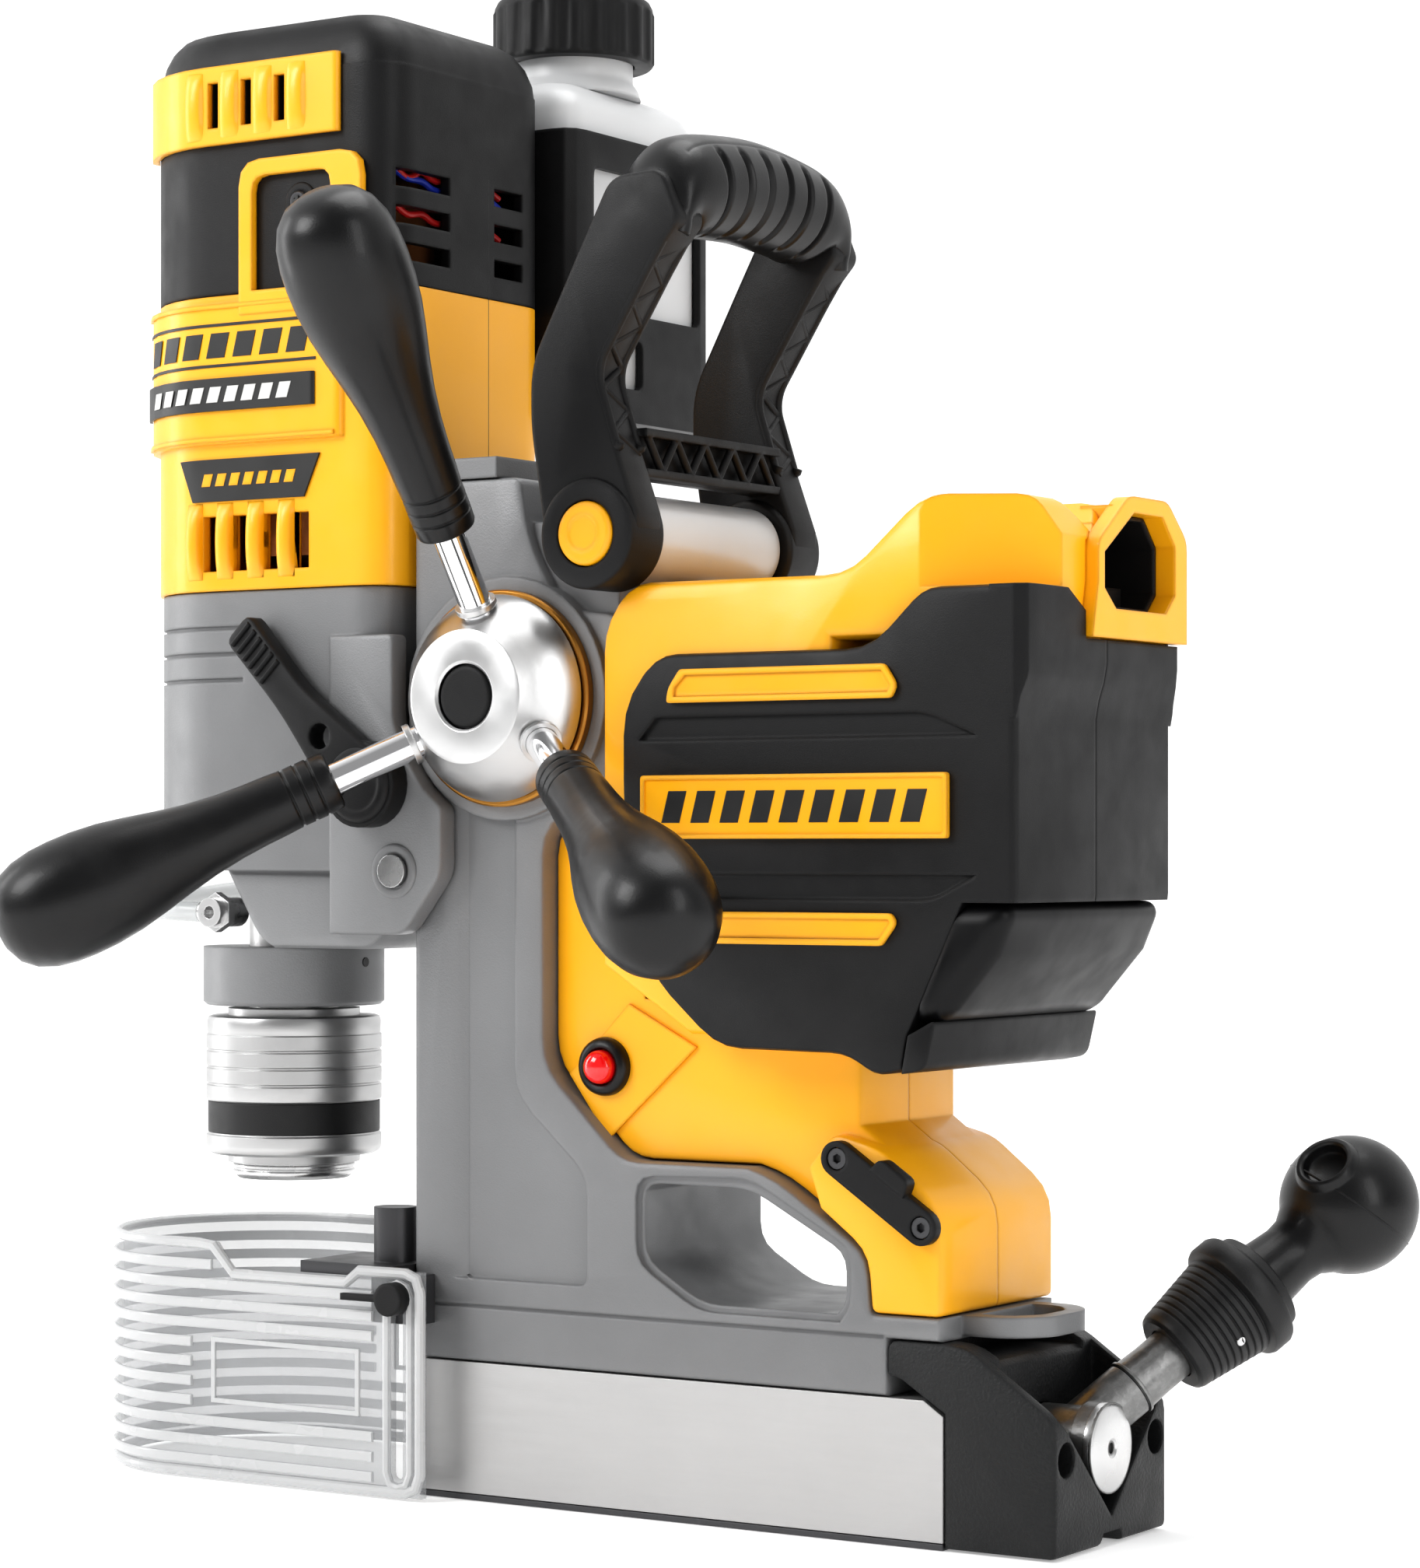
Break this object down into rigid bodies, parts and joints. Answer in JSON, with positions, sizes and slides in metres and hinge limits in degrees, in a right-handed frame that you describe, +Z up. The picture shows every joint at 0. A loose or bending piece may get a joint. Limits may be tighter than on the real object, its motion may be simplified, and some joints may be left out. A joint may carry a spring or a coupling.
{
  "type": "magnetic drill press",
  "caption": "Magnetic-base drill press: switchable magnet foot, cast column, rack-fed motor carriage with quick-change chuck, chip guard, coolant bottle and battery housing.",
  "frame": {"origin": "middle of the magnet's contact face, on the steel it stands on", "axes": "+Z up along the column, -X towards the drill spindle, +X towards the magnet lever, Y across the machine with the feed capstan on -Y"},
  "size_m": [0.4075, 0.2588, 0.4715],
  "materials": {
    "yellow_plastic": "fine-grained injection moulded",
    "charcoal_plastic": "fine-grained injection moulded",
    "gloss_black": "polished",
    "black_rubber": "satin",
    "cast_metal": "sand-cast, lacquered",
    "dark_casting": "sand-cast, textured paint",
    "ground_steel": "ground",
    "dark_steel": "blackened",
    "chrome": "polished",
    "turned_aluminium": "turned",
    "bronze": "turned",
    "silver_paint": "satin paint",
    "clear_plastic": "clear",
    "translucent_white": "translucent",
    "red_plastic": "polished"
  },
  "bodies": {
    "base": {"magnet_block": "ground_steel", "pole_plate": "dark_steel", "end_block": "dark_casting", "end_block_screw_near": "dark_steel", "end_block_screw_far": "dark_steel", "column_casting": "cast_metal", "column_top_plate": "cast_metal", "capstan_collar": "bronze", "rear_housing_near": "yellow_plastic", "rear_housing_far": "yellow_plastic", "side_cover_near": "charcoal_plastic", "side_cover_far": "charcoal_plastic", "rear_bumper": "gloss_black", "battery_bay": "charcoal_plastic", "label_plate": "yellow_plastic", "upper_bar": "yellow_plastic", "lower_bar": "yellow_plastic", "button_bezel": "charcoal_plastic", "latch_plate": "charcoal_plastic", "latch_screw_upper": "dark_steel", "latch_screw_lower": "dark_steel", "handle_barrel": "silver_paint", "guard_bracket": "dark_steel"},
    "carriage": {"gearbox_housing": "cast_metal", "slide_bar": "ground_steel", "motor_housing": "yellow_plastic", "motor_cap": "charcoal_plastic", "vent_panel": "yellow_plastic", "badge_plate": "charcoal_plastic", "motor_core": "dark_steel", "quill": "cast_metal", "gib_bolt": "ground_steel", "hose_fitting": "ground_steel", "coolant_hose": "clear_plastic", "bottle_cradle": "charcoal_plastic"},
    "capstan": {"capstan_hub": "turned_aluminium", "pinion_shaft": "dark_steel", "capstan_rod_upper": "chrome", "capstan_grip_upper": "black_rubber", "capstan_rod_front": "chrome", "capstan_grip_front": "black_rubber", "capstan_rod_rear": "chrome", "capstan_grip_rear": "black_rubber"},
    "spindle": {"spindle_chuck": "ground_steel"},
    "chuck_release": {"chuck_sleeve": "ground_steel"},
    "speed_lever": {"gear_lever": "charcoal_plastic"},
    "bottle": {"coolant_bottle": "translucent_white"},
    "bottle_lid": {"bottle_cap": "charcoal_plastic"},
    "guard": {"chip_guard": "clear_plastic"},
    "near_wing": {"wing_screw_near": "charcoal_plastic"},
    "far_wing": {"wing_screw_far": "charcoal_plastic"},
    "handle": {"carry_handle": "charcoal_plastic", "handle_grip": "black_rubber"},
    "near_lock": {"lock_button_near": "yellow_plastic"},
    "far_lock": {"lock_button_far": "yellow_plastic"},
    "magnet_lever": {"magnet_shaft": "dark_steel", "lever_arm": "dark_steel", "lever_knob": "black_rubber"},
    "lever_lock": {"lock_sleeve": "black_rubber"},
    "button": {"red_button": "red_plastic"}
  },
  "joints": [
    {"name": "carriage_slide", "type": "slide", "parent": "base", "child": "carriage", "axis": [0, 0, 1], "range_m": [-0.075, 0]},
    {"name": "capstan_turn", "type": "hinge", "parent": "base", "child": "capstan", "pos_m": [-0.057, -0.04, 0.238], "axis": [0, 1, 0], "range_deg": [-391, 0]},
    {"name": "spindle_spin", "type": "hinge", "parent": "carriage", "child": "spindle", "pos_m": [-0.1648, 0, 0.12], "axis": [0, 0, 1], "continuous": true},
    {"name": "chuck_release_slide", "type": "slide", "parent": "spindle", "child": "chuck_release", "axis": [0, 0, 1], "range_m": [0, 0.003], "stiffness_N_per_m": 1500, "springref_m": -0.004},
    {"name": "speed_lever_turn", "type": "hinge", "parent": "carriage", "child": "speed_lever", "pos_m": [-0.101, -0.046, 0.213], "axis": [0, 1, 0], "range_deg": [-80, 0]},
    {"name": "bottle_lift", "type": "slide", "parent": "carriage", "child": "bottle", "axis": [0, 0, 1], "range_m": [0, 0.09]},
    {"name": "bottle_cap_turn", "type": "hinge", "parent": "bottle", "child": "bottle_lid", "pos_m": [-0.116, 0.08515, 0.46], "axis": [0, 0, 1], "range_deg": [0, 270]},
    {"name": "guard_lift", "type": "slide", "parent": "base", "child": "guard", "axis": [0, 0, 1], "range_m": [0, 0.05]},
    {"name": "near_wing_turn", "type": "hinge", "parent": "base", "child": "near_wing", "pos_m": [-0.089, -0.048, 0.06], "axis": [0, 1, 0], "range_deg": [-180, 180]},
    {"name": "far_wing_turn", "type": "hinge", "parent": "base", "child": "far_wing", "pos_m": [-0.089, 0.048, 0.06], "axis": [0, 1, 0], "range_deg": [-180, 180]},
    {"name": "carry_handle_fold", "type": "hinge", "parent": "base", "child": "handle", "pos_m": [-0.017, 0, 0.284], "axis": [0, 1, 0], "range_deg": [-20, 65]},
    {"name": "near_lock_press", "type": "slide", "parent": "handle", "child": "near_lock", "axis": [0, 1, 0], "range_m": [0, 0.0025], "stiffness_N_per_m": 600, "springref_m": -0.002},
    {"name": "far_lock_press", "type": "slide", "parent": "handle", "child": "far_lock", "axis": [0, -1, 0], "range_m": [0, 0.0025], "stiffness_N_per_m": 600, "springref_m": -0.002},
    {"name": "magnet_lever_turn", "type": "hinge", "parent": "base", "child": "magnet_lever", "pos_m": [0.11, 0, 0.027], "axis": [1, 0, 0], "range_deg": [0, 98]},
    {"name": "lever_lock_slide", "type": "slide", "parent": "magnet_lever", "child": "lever_lock", "axis": [-0.4798, -0.6636, -0.5739], "range_m": [0, 0.005], "stiffness_N_per_m": 400, "springref_m": -0.004},
    {"name": "red_button_press", "type": "slide", "parent": "base", "child": "button", "axis": [0, 1, 0], "range_m": [0, 0.0022], "stiffness_N_per_m": 500, "springref_m": -0.002}
  ],
  "couplings": [
    {"joint": "capstan_turn", "follows": "carriage_slide", "rad_per_m": 90.909}
  ]
}
